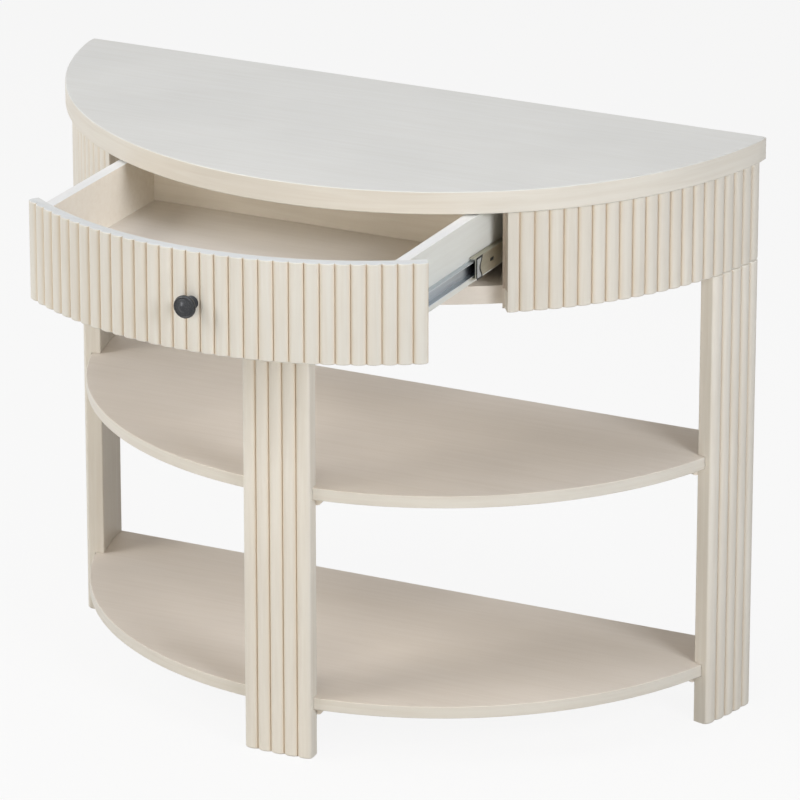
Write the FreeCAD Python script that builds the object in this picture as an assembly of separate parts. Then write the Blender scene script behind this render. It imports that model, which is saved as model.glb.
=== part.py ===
import FreeCAD, Part
import math
import os

os.makedirs("parts", exist_ok=True)

V = FreeCAD.Vector

# Overall sizes of the table, in millimetres
WIDTH = 950.0
DEPTH = 423.0
HEIGHT = 762.0

# Table top
TOP_T = 29.0
TOP_RETURN = 16.0
TOP_EASE = 1.5
TOP_OVERHANG = 8.0

# Reeds on the fascias, the drawer front and the legs
DRAWER_REED_COUNT = 31
SIDE_REED_COUNT = 21
LEG_REED_COUNT = 5
REED_DEPTH = 5.0
REED_FLANK = 0.13
REED_FLANK_RISE = 0.68

# Carcass under the top
APRON_H = 131.0
FASCIA_T = 18.0
BACKING_T = 12.0
BOARD_T = 23.5
BOARD_RISE = 2.5
RAIL_T = 15.0
PARTITION_T = 15.0
LIP = 2.9
PARTITION_SHOWS = 3.2

# Legs and shelves
LEG_T = 24.0
SHELF_INSET = 20.0
SHELF_T = 16.0
SHELF_MID_TOP = 361.0
SHELF_LOW_TOP = 80.0
SHELF_EASE = 1.0
NOTCH_GAP = 0.8
NOTCH_HEAD = 0.4
CLEAT_T = 13.0
CLEAT_H = 11.0
CLEAT_OVER = 7.0
CLEAT_ROUND = 6.0
BLOCK_W = 76.0
BLOCK_D = 38.0
BLOCK_H = 50.0

# Drawer
FRONT_T = 16.0
FRONT_GAP = 2.0
FRONT_END_GAP = 3.6
SIDE_T = 15.0
BOX_DROP = 18.5
BOX_BACK_INSET = 68.0
BACK_T = 12.0
PANEL_T = 9.0
PANEL_RISE = 4.0
GROOVE = 5.0

# Knob
KNOB_D = 29.0
KNOB_BASE_D = 17.0
KNOB_NECK_D = 10.0
KNOB_L = 26.0
KNOB_SEAT = 0.9
KNOB_SCREW_D = 4.0
KNOB_BASE_GAP = 0.3
DOME_BAND_COUNT = 4

# Ball-bearing drawer slides
SLIDE_T = 12.7
SLIDE_RISE = 22.0
SLIDE_SETBACK = 30.0
SLIDE_BACK_GAP = 6.0
SLIDE_LEAD = 49.0
SLIDE_STEEL = 1.2
CABINET_H = 35.0
MIDDLE_H = 26.4
DRAWER_MEMBER_H = 19.0
CABINET_LIP = 2.4
MEMBER_GAP = 1.7
CAGE_T = 0.5
CAGE_SHARE = 0.3
CAGE_BALL_COUNT = 2
OUTER_CAGE_GAP = 0.45
INNER_CAGE_GAP = 0.6
BALL_GAP = 0.3
BALL_SETBACK = 2.2
SLOT_W = 4.5
SLOT_L = 7.0
SLOT_SETBACK = 42.0
CLIP_W = 7.0
CLIP_T = 0.5
CLIP_SETBACK = 5.0
CLIP_MARGIN = 3.0

# Share of the slides' length by which the drawer stands open at rest
REST_SHARE = 0.84

# Fasteners
DOWEL_D = 8.0
DOWEL_L = 40.0
BOLT_D = 6.0
BOLT_L = 52.0
BOLT_HEAD_D = 11.0
BOLT_HEAD_T = 4.0
SCREW_D = 3.6
SCREW_HEAD_D = 7.0
SCREW_HEAD_T = 1.8
SLIDE_SCREW_L = 13.0
CLEAT_SCREW_BITE = 10.0
BLOCK_SCREW_BITE = 26.0
KNOB_SCREW_BITE = 11.0
KNOB_SCREW_HEAD_T = 2.6
HOLE_GAP = 0.1

# Radii about the one upright axis shared by all the curved pieces
TOP_R = (WIDTH ** 2 / 4 + (DEPTH - TOP_RETURN) ** 2) / (2 * (DEPTH - TOP_RETURN))
CREST_R = TOP_R - TOP_OVERHANG
GROOVE_R = CREST_R - REED_DEPTH
FASCIA_R = CREST_R - FASCIA_T
BACKING_R = FASCIA_R - BACKING_T
FRONT_R = CREST_R - FRONT_T
LEG_R = CREST_R - LEG_T
SHELF_R = TOP_R - SHELF_INSET

# Reed angles, counted from the middle of the front
AXIS_FROM_BACK = TOP_R - DEPTH
SPAN = math.acos(AXIS_FROM_BACK / GROOVE_R)
PITCH = 2 * SPAN / (DRAWER_REED_COUNT + 2 * SIDE_REED_COUNT)
DRAWER_A = DRAWER_REED_COUNT * PITCH / 2
FASCIA_A = DRAWER_A + FRONT_END_GAP / CREST_R
LEG_A = LEG_REED_COUNT * PITCH / 2
BACK_LEG_A = SPAN - LEG_REED_COUNT * PITCH

# Drawer opening and slides, from the reeds that end beside it
LIP_X = FASCIA_R * math.sin(FASCIA_A) - LIP
OPEN_X = LIP_X - PARTITION_SHOWS
BOX_X = OPEN_X - SLIDE_T
SLIDE_FROM_BACK = math.sqrt(BACKING_R ** 2 - OPEN_X ** 2) - AXIS_FROM_BACK - SLIDE_SETBACK
SLIDE_L = SLIDE_FROM_BACK - RAIL_T - SLIDE_BACK_GAP
REST_OPEN = REST_SHARE * SLIDE_L
CAGE_L = CAGE_SHARE * SLIDE_L

# The origin is on the floor, midway between the back edge and the knob's face with the drawer at rest
REST_DEPTH = CREST_R - AXIS_FROM_BACK + REST_OPEN + KNOB_L - KNOB_SEAT
BACK_Y = REST_DEPTH / 2
AXIS_Y = BACK_Y + AXIS_FROM_BACK

# Levels
TOP_Z = HEIGHT - TOP_T
APRON_Z = TOP_Z - APRON_H
BOARD_Z = APRON_Z + BOARD_RISE
FRONT_Z = APRON_Z + FRONT_GAP
FRONT_TOP_Z = TOP_Z - FRONT_GAP
KNOB_Z = (FRONT_Z + FRONT_TOP_Z) / 2
BOX_Z = KNOB_Z - BOX_DROP
PANEL_Z = BOX_Z + PANEL_RISE
SLIDE_Z = BOX_Z + SLIDE_RISE

# Straight positions along the table
RAIL_Y = BACK_Y - RAIL_T
SLIDE_Y = BACK_Y - SLIDE_FROM_BACK
BOX_BACK_Y = BACK_Y - BOX_BACK_INSET
KNOB_Y = AXIS_Y - CREST_R + KNOB_SEAT


def at(radius, angle, z):
    return V(radius * math.sin(angle), AXIS_Y - radius * math.cos(angle), z)


def arc(radius, a0, a1, z):
    return Part.Arc(at(radius, a0, z), at(radius, (a0 + a1) / 2, z), at(radius, a1, z)).toShape()


def disc(radius, z, height):
    return Part.makeCylinder(radius, height, V(0, AXIS_Y, z))


def block(x0, x1, y0, y1, z0, z1):
    return Part.makeBox(x1 - x0, y1 - y0, z1 - z0, V(x0, y0, z0))


def rod(diameter, start, end):
    way = end - start
    return Part.makeCylinder(diameter / 2, way.Length, start, way)


def prism(edges, height):
    return Part.Face(Part.Wire(edges)).extrude(V(0, 0, height))


def flip(shape):
    return shape.mirror(V(0, 0, 0), V(1, 0, 0))


def slid(shape, distance):
    return shape.translated(V(0, -distance, 0))


def in_front_of(shape, y):
    return shape.common(block(-WIDTH, WIDTH, -2 * WIDTH, y, -HEIGHT, 2 * HEIGHT))


def save(name, *solids):
    shape = solids[0] if len(solids) == 1 else Part.makeCompound(list(solids))
    shape.exportStep("parts/" + name + ".step")


def reed_edges(a0, count, z):
    edges = []
    flank_r = GROOVE_R + REED_FLANK_RISE * REED_DEPTH
    turn = REED_FLANK * PITCH
    for i in range(count):
        left = a0 + i * PITCH
        right = left + PITCH
        left_flank = at(flank_r, left + turn, z)
        right_flank = at(flank_r, right - turn, z)
        edges.append(Part.makeLine(at(GROOVE_R, left, z), left_flank))
        edges.append(Part.Arc(left_flank, at(CREST_R, (left + right) / 2, z), right_flank).toShape())
        edges.append(Part.makeLine(right_flank, at(GROOVE_R, right, z)))
    return edges


def reeded(a0, count, inner_r, z, height):
    a1 = a0 + count * PITCH
    edges = reed_edges(a0, count, z)
    edges.append(Part.makeLine(at(GROOVE_R, a1, z), at(inner_r, a1, z)))
    edges.append(arc(inner_r, a1, a0, z))
    edges.append(Part.makeLine(at(inner_r, a0, z), at(GROOVE_R, a0, z)))
    return prism(edges, height)


def sector(inner_r, outer_r, a0, a1, z, height):
    edges = [
        arc(outer_r, a0, a1, z),
        Part.makeLine(at(outer_r, a1, z), at(inner_r, a1, z)),
        arc(inner_r, a1, a0, z),
        Part.makeLine(at(inner_r, a0, z), at(outer_r, a0, z)),
    ]
    return prism(edges, height)


def dowel(place, grow):
    reach = V(0, 0, DOWEL_L / 2 + grow)
    return rod(DOWEL_D + 2 * grow, place - reach, place + reach)


def screw(seat, way, length, grow=0.0):
    head = Part.makeCone(SCREW_HEAD_D / 2 + grow, SCREW_D / 2 + grow, SCREW_HEAD_T, seat, way)
    return head.fuse(rod(SCREW_D + 2 * grow, seat, seat + way * (length + grow))).removeSplitter()


def hex_bolt(seat, way, length):
    corners = []
    for i in range(7):
        turn = math.radians(60 * i)
        reach = BOLT_HEAD_D / math.sqrt(3)
        corners.append(seat + V(reach * math.cos(turn), 0, reach * math.sin(turn)))
    head = Part.Face(Part.makePolygon(corners)).extrude(way * -BOLT_HEAD_T)
    return head.fuse(rod(BOLT_D, seat, seat + way * length)).removeSplitter()


def both(shapes):
    return shapes + [flip(s) for s in shapes]


def save_pair(name, shape):
    save(name + "_right", shape)
    save(name + "_left", flip(shape))


def strip(u0, u1, v0, v1, y0, length):
    return block(OPEN_X - u1, OPEN_X - u0, y0, y0 + length, SLIDE_Z + v0, SLIDE_Z + v1)


def channel(height, web_u, tip_u, y0):
    way = 1 if tip_u > web_u else -1
    inside_u = web_u + way * SLIDE_STEEL
    half = height / 2
    solid = strip(min(web_u, tip_u), max(web_u, tip_u), -half, half, y0, SLIDE_L)
    hollow_half = half - SLIDE_STEEL
    hollow = strip(min(inside_u, tip_u), max(inside_u, tip_u), -hollow_half, hollow_half, y0, SLIDE_L)
    solid = solid.cut(hollow)
    bends = []
    for edge in solid.Edges:
        middle = edge.CenterOfMass
        if edge.BoundBox.YLength > SLIDE_L - 1 and abs(middle.x - OPEN_X + web_u) < 0.01:
            bends.append(edge)
    return solid.makeFillet(SLIDE_STEEL, bends)


def ball(radius, centre):
    cube = Part.makeBox(2 * radius, 2 * radius, 2 * radius, centre - V(radius, radius, radius))
    shape = cube
    for axis in (V(1, 0, 0), V(0, 1, 0), V(0, 0, 1)):
        shape = shape.common(cube.rotated(centre, axis, 45))
    return shape


def cage(web_u, tip_u, gap_low, gap_high, y0):
    ball_v = (gap_low + gap_high) / 2
    ball_r = (gap_high - gap_low) / 2 - BALL_GAP
    ball_x = OPEN_X - tip_u + BALL_SETBACK
    shape = strip(web_u, web_u + CAGE_T, -ball_v, ball_v, y0, CAGE_L)
    for sign in (-1, 1):
        arm_v = sign * ball_v - CAGE_T / 2
        shape = shape.fuse(strip(web_u, tip_u, arm_v, arm_v + CAGE_T, y0, CAGE_L))
        for i in range(CAGE_BALL_COUNT):
            y = y0 + CAGE_L * (i + 0.5) / CAGE_BALL_COUNT
            shape = shape.fuse(ball(ball_r, V(ball_x, y, SLIDE_Z + sign * ball_v)))
    return shape


def cleat(a0, a1, z):
    shape = sector(LEG_R - CLEAT_T, LEG_R, a0, a1, z, CLEAT_H)
    ends = [e for e in shape.Edges if abs(e.Length - CLEAT_T) < 0.01 and e.BoundBox.ZMax < z + 0.01]
    return shape.makeFillet(CLEAT_ROUND, ends)


def turned(radius, along):
    return V(radius, KNOB_Y - along, KNOB_Z)


# Dowels between the back legs and the fascias, and between the fascias and the top
dowel_r = (FASCIA_R + GROOVE_R) / 2
dowel_places = []
for share in (0.3, 0.7):
    dowel_places.append(at(dowel_r, BACK_LEG_A + share * (SPAN - BACK_LEG_A), APRON_Z))
    dowel_places.append(at(dowel_r, DRAWER_A + share * (BACK_LEG_A - DRAWER_A), TOP_Z))
save("dowels", *both([dowel(p, 0) for p in dowel_places]))
dowel_holes = Part.makeCompound(both([dowel(p, HOLE_GAP) for p in dowel_places]))

# Table top
outline = [
    Part.makeLine(V(-WIDTH / 2, BACK_Y - TOP_RETURN, TOP_Z), V(-WIDTH / 2, BACK_Y, TOP_Z)),
    Part.makeLine(V(-WIDTH / 2, BACK_Y, TOP_Z), V(WIDTH / 2, BACK_Y, TOP_Z)),
    Part.makeLine(V(WIDTH / 2, BACK_Y, TOP_Z), V(WIDTH / 2, BACK_Y - TOP_RETURN, TOP_Z)),
    Part.Arc(V(WIDTH / 2, BACK_Y - TOP_RETURN, TOP_Z), at(TOP_R, 0, TOP_Z),
             V(-WIDTH / 2, BACK_Y - TOP_RETURN, TOP_Z)).toShape(),
]
top = prism(outline, TOP_T)
top = top.makeChamfer(TOP_EASE, [e for e in top.Edges if e.BoundBox.ZLength < 0.1])
save("top_panel", top.cut(dowel_holes))

# Slide members, drawn closed at the right-hand side of the drawer
cage_out_u = SLIDE_STEEL + OUTER_CAGE_GAP
middle_u = cage_out_u + CAGE_T + OUTER_CAGE_GAP
middle_tip_u = SLIDE_T - MEMBER_GAP
cage_in_u = middle_u + SLIDE_STEEL + INNER_CAGE_GAP
member_tip_u = cage_in_u + CAGE_T + INNER_CAGE_GAP
cabinet_half = CABINET_H / 2
middle_half = MIDDLE_H / 2
member_half = DRAWER_MEMBER_H / 2

cabinet_tip_u = middle_tip_u - CAGE_T
cabinet = channel(CABINET_H, 0, cabinet_tip_u, SLIDE_Y)
for sign in (-1, 1):
    ends = (sign * (cabinet_half - CABINET_LIP), sign * (cabinet_half - SLIDE_STEEL / 2))
    lip = strip(cabinet_tip_u - SLIDE_STEEL, cabinet_tip_u, min(ends), max(ends), SLIDE_Y, SLIDE_L)
    cabinet = cabinet.fuse(lip)
cabinet = cabinet.removeSplitter()

# The middle member has a slot in its web and a raised retaining clip near its front end
middle = channel(MIDDLE_H, middle_u, middle_tip_u, SLIDE_Y)
slot_start = V(BOX_X, SLIDE_Y + SLOT_SETBACK, SLIDE_Z)
slot = rod(SLOT_W, slot_start, slot_start + V(SLIDE_T, 0, 0))
slot = slot.fuse(slot.translated(V(0, SLOT_L, 0)))
slot = slot.fuse(strip(0, SLIDE_T, -SLOT_W / 2, SLOT_W / 2, SLIDE_Y + SLOT_SETBACK, SLOT_L))
clip_half = middle_half - CLIP_MARGIN
clip = strip(middle_u - CLIP_T, middle_u, -clip_half, clip_half, SLIDE_Y + CLIP_SETBACK, CLIP_W)
clip_notch = V(BOX_X, SLIDE_Y + CLIP_SETBACK + CLIP_W, SLIDE_Z)
clip = clip.cut(rod(CLIP_W, clip_notch, clip_notch + V(SLIDE_T, 0, 0)))
middle = middle.cut(slot).fuse(clip).removeSplitter()

member = channel(DRAWER_MEMBER_H, SLIDE_T, member_tip_u, SLIDE_Y - SLIDE_LEAD)


cage_y = SLIDE_Y + (SLIDE_L - CAGE_L) / 2
cage_out_tip_u = cabinet_tip_u - SLIDE_STEEL - INNER_CAGE_GAP
cage_in_tip_u = middle_tip_u - SLIDE_STEEL
cage_in_y = cage_y - SLIDE_LEAD / 2
cage_out = cage(cage_out_u, cage_out_tip_u, middle_half, cabinet_half - SLIDE_STEEL, cage_y)
cage_in = cage(cage_in_u, cage_in_tip_u, member_half, middle_half - SLIDE_STEEL, cage_in_y)

cabinet_screws = []
member_screws = []
for share in (0.16, 0.84):
    cabinet_seat = V(OPEN_X - SLIDE_STEEL, SLIDE_Y + share * SLIDE_L, SLIDE_Z)
    member_seat = V(BOX_X + SLIDE_STEEL, SLIDE_Y - SLIDE_LEAD + share * SLIDE_L, SLIDE_Z)
    cabinet_screws.append((cabinet_seat, V(1, 0, 0), SLIDE_SCREW_L))
    member_screws.append((member_seat, V(-1, 0, 0), SLIDE_SCREW_L))
cabinet_holes = Part.makeCompound([screw(*s, grow=HOLE_GAP) for s in cabinet_screws])
member_holes = Part.makeCompound([screw(*s, grow=HOLE_GAP) for s in member_screws])

save_pair("slide_cabinet", cabinet.cut(cabinet_holes))
save_pair("slide_middle", slid(middle, REST_OPEN / 2))
save_pair("slide_cage_outer", slid(cage_out, REST_OPEN / 4))
save_pair("slide_cage_inner", slid(cage_in, 3 * REST_OPEN / 4))
save_pair("slide_drawer", slid(member.cut(member_holes), REST_OPEN))
save("slide_cabinet_screws", *both([screw(*s) for s in cabinet_screws]))
save("slide_drawer_screws", *both([slid(screw(*s), REST_OPEN) for s in member_screws]))

# Fascias, their backings and the partitions beside the drawer
fascia = reeded(DRAWER_A, SIDE_REED_COUNT, FASCIA_R, APRON_Z, APRON_H)
fascia = fascia.cut(sector(BACKING_R, TOP_R, DRAWER_A - PITCH, FASCIA_A, 0, HEIGHT))
fascia = in_front_of(fascia, BACK_Y)
save_pair("apron_fascia", fascia.cut(dowel_holes))

backing = sector(BACKING_R, FASCIA_R, DRAWER_A - PITCH, SPAN + PITCH, APRON_Z, APRON_H)
backing = in_front_of(backing, BACK_Y).cut(block(0, LIP_X, -WIDTH, WIDTH, 0, HEIGHT))
save_pair("apron_backing", backing)

partition = block(OPEN_X, OPEN_X + PARTITION_T, -WIDTH, RAIL_Y, BOARD_Z + BOARD_T, TOP_Z)
partition = partition.common(disc(BACKING_R, APRON_Z, APRON_H))
save_pair("partition", partition.cut(cabinet_holes))

# Back rail, bottom board and the block behind the head of the front leg
rail = block(-WIDTH, WIDTH, RAIL_Y, BACK_Y, APRON_Z, TOP_Z).common(disc(BACKING_R, APRON_Z, APRON_H))
save("back_rail", rail)

block_front = AXIS_Y - LEG_R
block_back = block_front + BLOCK_D
block_screws = []
leg_bolts = []
for sign in (-1, 1):
    seat = V(sign * BLOCK_W * 0.3, block_back - BLOCK_D * 0.36, BOARD_Z + BOARD_T)
    block_screws.append((seat, V(0, 0, -1), BOARD_T + BLOCK_SCREW_BITE))
    seat = V(sign * BLOCK_W * 0.24, block_back, BOARD_Z - BLOCK_H * 0.55)
    leg_bolts.append((seat, V(0, -1, 0), BOLT_L))
block_holes = Part.makeCompound([screw(*s, grow=HOLE_GAP) for s in block_screws])
bolt_holes = []
for seat, way, length in leg_bolts:
    bolt_holes.append(rod(BOLT_D + 2 * HOLE_GAP, seat, seat + way * (length + HOLE_GAP)))
bolt_holes = Part.makeCompound(bolt_holes)
save("block_screws", *[screw(*s) for s in block_screws])
save("leg_bolts", *[hex_bolt(*b) for b in leg_bolts])

save("bottom_board", in_front_of(disc(BACKING_R, BOARD_Z, BOARD_T), RAIL_Y).cut(block_holes))
leg_block = block(-BLOCK_W / 2, BLOCK_W / 2, block_front - 1, block_back, BOARD_Z - BLOCK_H, BOARD_Z)
leg_block = leg_block.common(disc(LEG_R, 0, HEIGHT)).cut(block_holes).cut(bolt_holes)
save("leg_block", leg_block)

# Shelves, their cleats and the legs that house them
shelves = (("middle", SHELF_MID_TOP), ("lower", SHELF_LOW_TOP))
notches = []
cleat_screws = []
cleats = {}


over_a = CLEAT_OVER / LEG_R
for name, z_top in shelves:
    z = z_top - SHELF_T - CLEAT_H
    notches.append(disc(SHELF_R + NOTCH_GAP, z_top - SHELF_T, SHELF_T + NOTCH_HEAD))
    back_cleat = in_front_of(cleat(BACK_LEG_A - over_a, SPAN, z), BACK_Y - CLEAT_OVER)
    cleats["cleat_" + name + "_front"] = cleat(-LEG_A - over_a, LEG_A + over_a, z)
    cleats["cleat_" + name + "_right"] = back_cleat
    cleats["cleat_" + name + "_left"] = flip(back_cleat)
    back_a = (BACK_LEG_A + SPAN) / 2
    for angle in (-back_a, 0, back_a):
        cleat_screws.append((at(LEG_R - CLEAT_T / 2, angle, z), V(0, 0, 1), CLEAT_H + CLEAT_SCREW_BITE))
cleat_holes = Part.makeCompound([screw(*s, grow=HOLE_GAP) for s in cleat_screws])
save("cleat_screws", *[screw(*s) for s in cleat_screws])
for name in cleats:
    save(name, cleats[name].cut(cleat_holes))
for name, z_top in shelves:
    shelf = in_front_of(disc(SHELF_R, z_top - SHELF_T, SHELF_T), BACK_Y)
    shelf = shelf.makeChamfer(SHELF_EASE, [e for e in shelf.Edges if e.BoundBox.ZLength < 0.1])
    save("shelf_" + name, shelf.cut(cleat_holes))

front_leg = reeded(-LEG_A, LEG_REED_COUNT, LEG_R, 0, APRON_Z)
back_leg = in_front_of(reeded(BACK_LEG_A, LEG_REED_COUNT, LEG_R, 0, APRON_Z), BACK_Y)
for notch in notches:
    front_leg = front_leg.cut(notch)
    back_leg = back_leg.cut(notch)
save("leg_front", front_leg.cut(bolt_holes))
save_pair("leg_back", back_leg.cut(dowel_holes))

# Drawer box and its curved reeded front, drawn closed and slid out to the rest position
inner_x = BOX_X - SIDE_T
panel_x = inner_x + GROOVE
panel_y = BOX_BACK_Y - BACK_T + GROOVE
panel = block(-panel_x, panel_x, -WIDTH, panel_y, PANEL_Z, PANEL_Z + PANEL_T)
panel = panel.common(disc(FRONT_R + GROOVE, 0, HEIGHT))
save("drawer_bottom", slid(panel, REST_OPEN))

back = block(-panel_x, panel_x, BOX_BACK_Y - BACK_T, BOX_BACK_Y, BOX_Z, FRONT_TOP_Z)
save("drawer_back", slid(back.cut(panel), REST_OPEN))
side = block(inner_x, BOX_X, -WIDTH, BOX_BACK_Y, BOX_Z, FRONT_TOP_Z).common(disc(FRONT_R, 0, HEIGHT))
save_pair("drawer_side", slid(side.cut(panel).cut(back).cut(member_holes), REST_OPEN))

# Knob, turned about an axis along the drawer's travel, and the machine screw that holds it
knob_axis = V(0, KNOB_Y, KNOB_Z)
screw_tip = V(0, KNOB_Y - KNOB_SCREW_BITE, KNOB_Z)
screw_hole = rod(KNOB_SCREW_D + 2 * HOLE_GAP, V(0, AXIS_Y, KNOB_Z), screw_tip - V(0, HOLE_GAP, 0))
front = reeded(-DRAWER_A, DRAWER_REED_COUNT, FRONT_R, FRONT_Z, FRONT_TOP_Z - FRONT_Z)
front = front.cut(panel).cut(screw_hole)
front = front.cut(rod(KNOB_BASE_D + 2 * KNOB_BASE_GAP, knob_axis, knob_axis - V(0, CREST_R, 0)))
save("drawer_front", slid(front, REST_OPEN))


rim = KNOB_D / 2
base = KNOB_BASE_D / 2
neck = KNOB_NECK_D / 2
dome = rim * 0.68
dome_foot = KNOB_L * 0.88
dome_rise = KNOB_L - dome_foot
dome_r = (dome ** 2 + dome_rise ** 2) / (2 * dome_rise)
outline = [
    turned(0, 0),
    turned(base, 0),
    turned(base, KNOB_L * 0.08),
    turned(neck, KNOB_L * 0.24),
    turned(neck, KNOB_L * 0.42),
    turned(rim * 0.72, KNOB_L * 0.52),
    turned(rim, KNOB_L * 0.68),
    turned(rim, KNOB_L * 0.76),
    turned(rim * 0.95, KNOB_L * 0.84),
    turned(rim * 0.86, KNOB_L * 0.88),
    turned(rim * 0.76, KNOB_L * 0.86),
]
dome_a = math.asin(dome / dome_r)
for i in range(DOME_BAND_COUNT + 1):
    turn = dome_a * (1 - i / DOME_BAND_COUNT)
    outline.append(turned(dome_r * math.sin(turn), KNOB_L - dome_r + dome_r * math.cos(turn)))
outline.append(outline[0])
knob = Part.Face(Part.makePolygon(outline)).revolve(knob_axis, V(0, 1, 0), 360)
save("knob", slid(knob.cut(screw_hole), REST_OPEN))
head_y = AXIS_Y - math.sqrt(FRONT_R ** 2 - KNOB_SCREW_D ** 2)
knob_screw = rod(2 * KNOB_SCREW_D, V(0, head_y, KNOB_Z), V(0, head_y + KNOB_SCREW_HEAD_T, KNOB_Z))
knob_screw = knob_screw.fuse(rod(KNOB_SCREW_D, V(0, head_y, KNOB_Z), screw_tip))
save("knob_screw", slid(knob_screw.removeSplitter(), REST_OPEN))
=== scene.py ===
"""Looks of a half-round console table with a reeded drawer, two shelves and three reeded legs."""
import logging
import math
from collections.abc import Callable, Iterator
from contextlib import contextmanager
from dataclasses import dataclass, field
from enum import Enum
from typing import Any

import bmesh
import bpy
from bpy.types import Material, NodeSocket, NodeTree, Object
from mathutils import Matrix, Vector


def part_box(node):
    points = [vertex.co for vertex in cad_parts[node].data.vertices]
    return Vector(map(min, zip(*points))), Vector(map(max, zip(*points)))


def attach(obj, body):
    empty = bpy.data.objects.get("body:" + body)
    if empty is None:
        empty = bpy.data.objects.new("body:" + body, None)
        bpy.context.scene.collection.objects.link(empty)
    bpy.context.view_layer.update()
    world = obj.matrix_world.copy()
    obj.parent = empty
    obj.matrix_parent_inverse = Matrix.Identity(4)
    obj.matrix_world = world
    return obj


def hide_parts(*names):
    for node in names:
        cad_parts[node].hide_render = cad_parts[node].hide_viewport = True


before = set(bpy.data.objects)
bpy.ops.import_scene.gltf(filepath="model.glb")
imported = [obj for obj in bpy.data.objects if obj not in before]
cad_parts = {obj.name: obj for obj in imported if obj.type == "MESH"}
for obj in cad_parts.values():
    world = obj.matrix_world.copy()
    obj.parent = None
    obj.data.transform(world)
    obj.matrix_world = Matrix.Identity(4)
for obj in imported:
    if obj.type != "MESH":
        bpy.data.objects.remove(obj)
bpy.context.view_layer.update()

LOG = logging.getLogger("half_round_table")
MM = 0.001
TINY = 2e-6
WELD = 10 * TINY
ARRIS_ANGLE = math.radians(30)
SMOOTH_ANGLE = math.radians(32)
SLIVER_ANGLE = math.radians(5)
SLIVER_WIDTHS = 3
MERGE_ANGLE = math.radians(0.3)
REED_MERGE_ANGLE = math.radians(0.2)
STEEP = 0.5
SQUARE_ON = 0.9
FLUSH = 0.99
DISC_POINTS = 360
EASE_STEPS = 3
RIM_ARRIS = 2 * MM
BOARD_ARRIS = 4 * MM
LEG_ARRIS = 100 * MM

Finishes = dict[str, Material]
Names = tuple[str, ...]
Pair = tuple[float, float]
Test = Callable[[Any], bool]
Triple = tuple[float, float, float]


class Element(Enum):
    """What a selection in edit mode picks."""

    VERT = "VERT"
    EDGE = "EDGE"
    FACE = "FACE"


class Grain(Enum):
    """Way in which the wood's grain runs under the paint."""

    ALONG = "along the width"
    DEEP = "from front to back"
    UPRIGHT = "upright"
    ROUND = "round the curved edge"

    def spread(self, across_mm: float, along_mm: float) -> Triple:
        """Gives a pattern's scales from its sizes across and along the grain."""
        runs = (self in (Grain.ALONG, Grain.ROUND), self is Grain.DEEP, self is Grain.UPRIGHT)
        return tuple(1 / ((along_mm if along else across_mm) * MM) for along in runs)


class Body(Enum):
    """Moving bodies of the table."""

    CARCASS = "carcass"
    MIDDLES = "slide_middles"
    DRAWER = "drawer"


# Selecting and shaping meshes


def deselect() -> None:
    """Leaves nothing selected and no object in edit mode."""
    if bpy.context.object and bpy.context.object.mode != "OBJECT":
        bpy.ops.object.mode_set(mode="OBJECT")
    bpy.ops.object.select_all(action="DESELECT")


def activate(obj: Object) -> None:
    """Leaves one object selected and active.

    Args:
        obj: The object to work on.
    """
    deselect()
    obj.select_set(True)
    bpy.context.view_layer.objects.active = obj


def bake_place() -> None:
    """Puts the selected object's place, turn and scale into its mesh."""
    bpy.ops.object.transform_apply(location=True, rotation=True, scale=True)


@contextmanager
def editing(obj: Object) -> Iterator[None]:
    """Keeps one object in edit mode for the length of a with block.

    Args:
        obj: The mesh object to edit.
    """
    activate(obj)
    bpy.ops.object.mode_set(mode="EDIT")
    bpy.ops.mesh.select_mode(type=Element.VERT.value)
    bpy.ops.mesh.select_all(action="SELECT")
    yield
    bpy.ops.object.mode_set(mode="OBJECT")


def pick(obj: Object, kind: Element, test: Test) -> int:
    """Selects only those elements of an edited mesh that pass a test.

    Args:
        obj: The object in edit mode.
        kind: Whether vertices, edges or faces are picked.
        test: Takes one element and says whether it is picked.

    Returns:
        How many elements were picked.
    """
    bpy.ops.mesh.select_mode(type=kind.value)
    bpy.ops.mesh.select_all(action="DESELECT")
    mesh = bmesh.from_edit_mesh(obj.data)
    layers = {Element.VERT: mesh.verts, Element.EDGE: mesh.edges, Element.FACE: mesh.faces}
    found = [e for e in layers[kind] if test(e)]
    for element in found:
        element.select_set(True)
    mesh.select_flush_mode()
    bmesh.update_edit_mesh(obj.data)
    return len(found)


def points(element: Any) -> list[Vector]:
    """Gives the corner points of an edge or a face."""
    return [v.co for v in element.verts]


def is_corner(edge: Any, least: float) -> bool:
    """Says whether an edge, longer than the least length, is an arris between two faces."""
    return edge.is_manifold and edge.calc_length() > least and edge.calc_face_angle(0) > ARRIS_ANGLE


def is_sliver(vert: Any, least: float) -> bool:
    """Says whether a point on a slab's round edge lies too close to the next one.

    Args:
        vert: The point to look at.
        least: Shortest distance that is allowed, in metres.

    Returns:
        True for a point that can go without changing the outline.
    """
    level = [e for e in vert.link_edges if abs(e.verts[0].co.z - e.verts[1].co.z) < TINY]
    if len(level) != 2 or min(e.calc_length() for e in level) > least:
        return False
    before, after = (e.other_vert(vert).co - vert.co for e in level)
    return before.angle(-after) < SLIVER_ANGLE


def is_upright(face: Any) -> bool:
    """Says whether a face stands upright."""
    return abs(face.normal.z) < STEEP


def bevel(width: float, segments: int = 2) -> None:
    """Rounds the selected edges by a width in metres, in some steps."""
    bpy.ops.mesh.bevel(offset=width, segments=segments, affect="EDGES", clamp_overlap=True)


def close_up() -> None:
    """Merges doubled points of the edited mesh and turns its faces outwards."""
    bpy.ops.mesh.select_all(action="SELECT")
    bpy.ops.mesh.remove_doubles(threshold=WELD)
    bpy.ops.mesh.normals_make_consistent(inside=False)


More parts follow.
